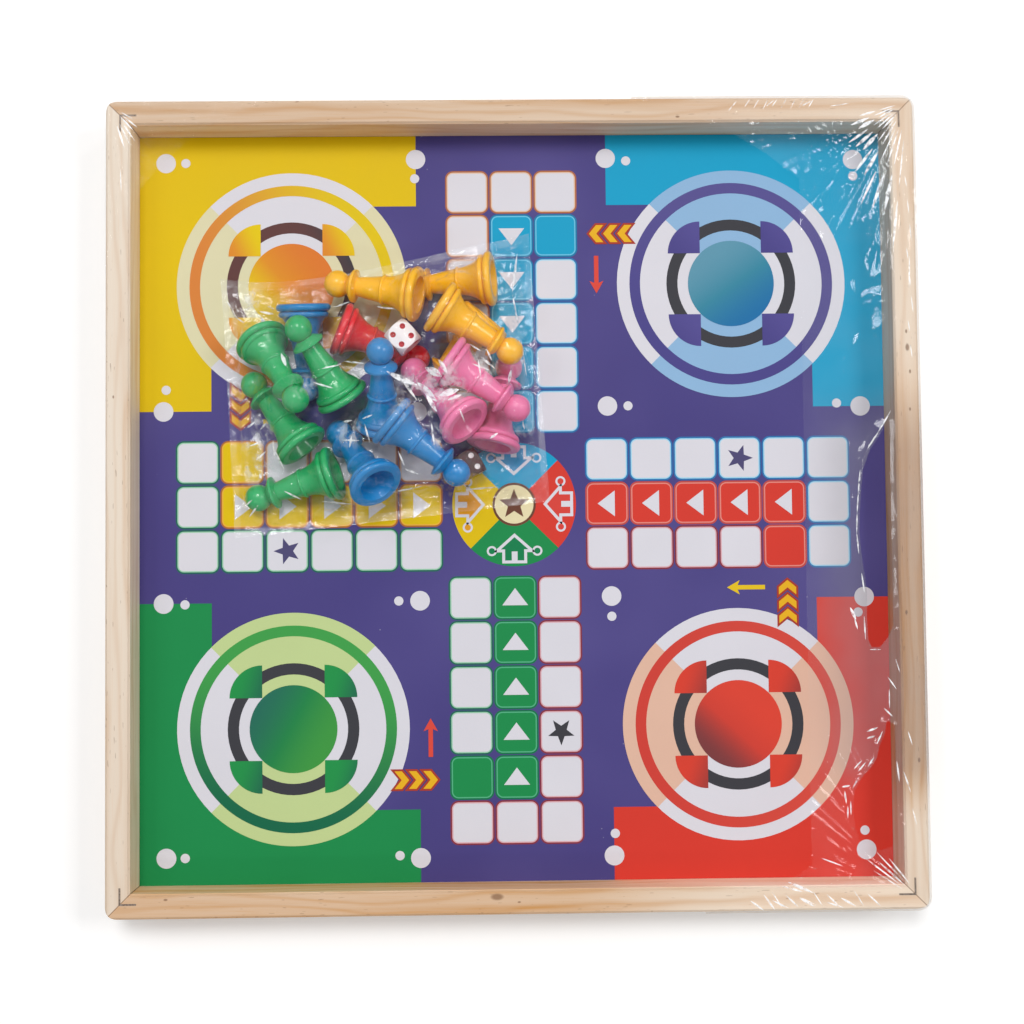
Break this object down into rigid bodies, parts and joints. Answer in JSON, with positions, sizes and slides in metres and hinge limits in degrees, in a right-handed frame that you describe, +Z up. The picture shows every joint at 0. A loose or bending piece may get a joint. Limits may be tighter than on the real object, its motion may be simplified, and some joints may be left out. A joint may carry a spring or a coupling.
{
  "type": "ludo board",
  "caption": "Square pine tray with a printed ludo track on its floor, mitred nailed rails, and a clear bag of pawns and dice lying in it.",
  "frame": {"origin": "under the middle of the tray, on the plane of the rails' undersides", "axes": "+Z up out of the tray, +X to the player's right, +Y away from the player"},
  "size_m": [0.301, 0.301, 0.0483],
  "materials": {
    "pine": "planed softwood, unvarnished",
    "nail_steel": "dull steel strip",
    "hardboard": "pressed hardboard",
    "print_purple": "glossy printed paper",
    "print_white": "glossy print",
    "print_yellow": "glossy print",
    "print_blue": "glossy print",
    "print_red": "glossy print",
    "print_green": "glossy print",
    "print_dark": "glossy print",
    "green_plastic": "moulded, glossy",
    "blue_plastic": "moulded, glossy",
    "yellow_plastic": "moulded, glossy",
    "pink_plastic": "moulded, glossy",
    "red_plastic": "moulded, glossy",
    "white_plastic": "moulded, glossy, red pips",
    "brown_plastic": "moulded, glossy, white pips",
    "clear_bag": "clear crinkled polythene film",
    "clear_film": "clear shrink film"
  },
  "bodies": {
    "tray": {"front_rail": "pine", "back_rail": "pine", "left_rail": "pine", "right_rail": "pine", "corner_v_nails": "nail_steel", "floor_panel": "hardboard", "printed_sheet": "print_purple", "print_white": "print_white", "print_yellow": "print_yellow", "print_blue": "print_blue", "print_red": "print_red", "print_green": "print_green", "print_dark": "print_dark", "film_right_side": "clear_film", "film_far_left": "clear_film"},
    "bag": {"bag_bottom": "clear_bag", "bag_top": "clear_bag", "green_pawn_1": "green_plastic", "green_pawn_2": "green_plastic", "green_pawn_3": "green_plastic", "green_pawn_4": "green_plastic", "blue_pawn_1": "blue_plastic", "blue_pawn_2": "blue_plastic", "blue_pawn_3": "blue_plastic", "blue_pawn_4": "blue_plastic", "yellow_pawn_1": "yellow_plastic", "yellow_pawn_2": "yellow_plastic", "yellow_pawn_3": "yellow_plastic", "yellow_pawn_4": "yellow_plastic", "pink_pawn_1": "pink_plastic", "pink_pawn_2": "pink_plastic", "pink_pawn_3": "pink_plastic", "red_pawn_1": "red_plastic", "white_die": "white_plastic", "brown_die": "brown_plastic"}
  },
  "joints": [
    {"name": "bag_lift", "type": "slide", "parent": "tray", "child": "bag", "axis": [0, 0, 1], "range_m": [0, 0.2]}
  ]
}
